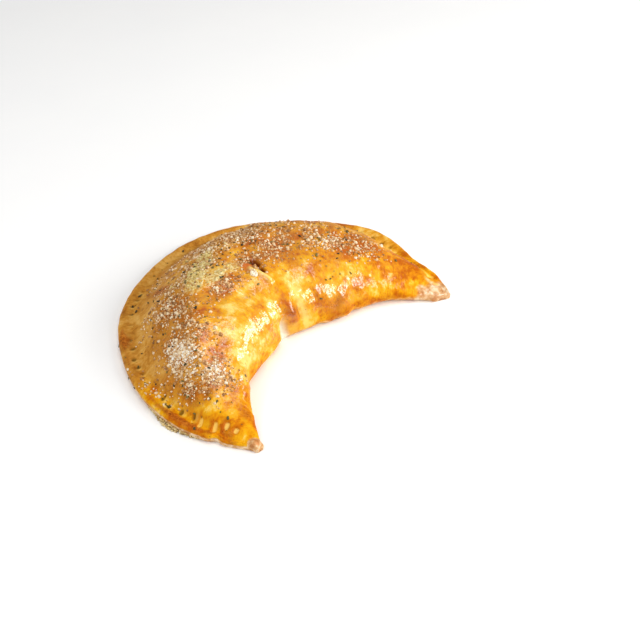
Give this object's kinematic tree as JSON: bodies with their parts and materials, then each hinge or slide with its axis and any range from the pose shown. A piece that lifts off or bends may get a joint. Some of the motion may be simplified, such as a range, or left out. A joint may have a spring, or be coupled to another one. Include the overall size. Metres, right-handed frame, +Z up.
{
  "type": "baked calzone",
  "caption": "Crescent-shaped baked calzone with a pressed, fork-pricked rim, a creased inner fold, a small steam vent, and grated cheese and herbs on top.",
  "frame": {"origin": "on the surface that the calzone lies on, under the middle of its bounding box", "axes": "+Z up, the flat base at z = 0; +X along the crescent's length, towards the horn that is cut square; +Y towards the bulge of the rim, so that both horns and the open bay point to -Y"},
  "size_m": [0.2528, 0.1938, 0.0469],
  "materials": {
    "baked_crust": "golden oven-baked dough with an egg or oil sheen, browned on the high spots, paler in the creases and at the horns, sprinkled with grated hard cheese and dried herbs",
    "grated_cheese": "dry, crumbly grated hard cheese, cream to pale yellow, toasted at the edges",
    "dried_herbs": "dry olive-brown flakes of herb",
    "melted_cheese": "soft, slightly greasy melted cheese at the vent, and lacy baked-on crumbs under the rim"
  },
  "bodies": {
    "root": {"calzone": "baked_crust"}
  },
  "joints": []
}
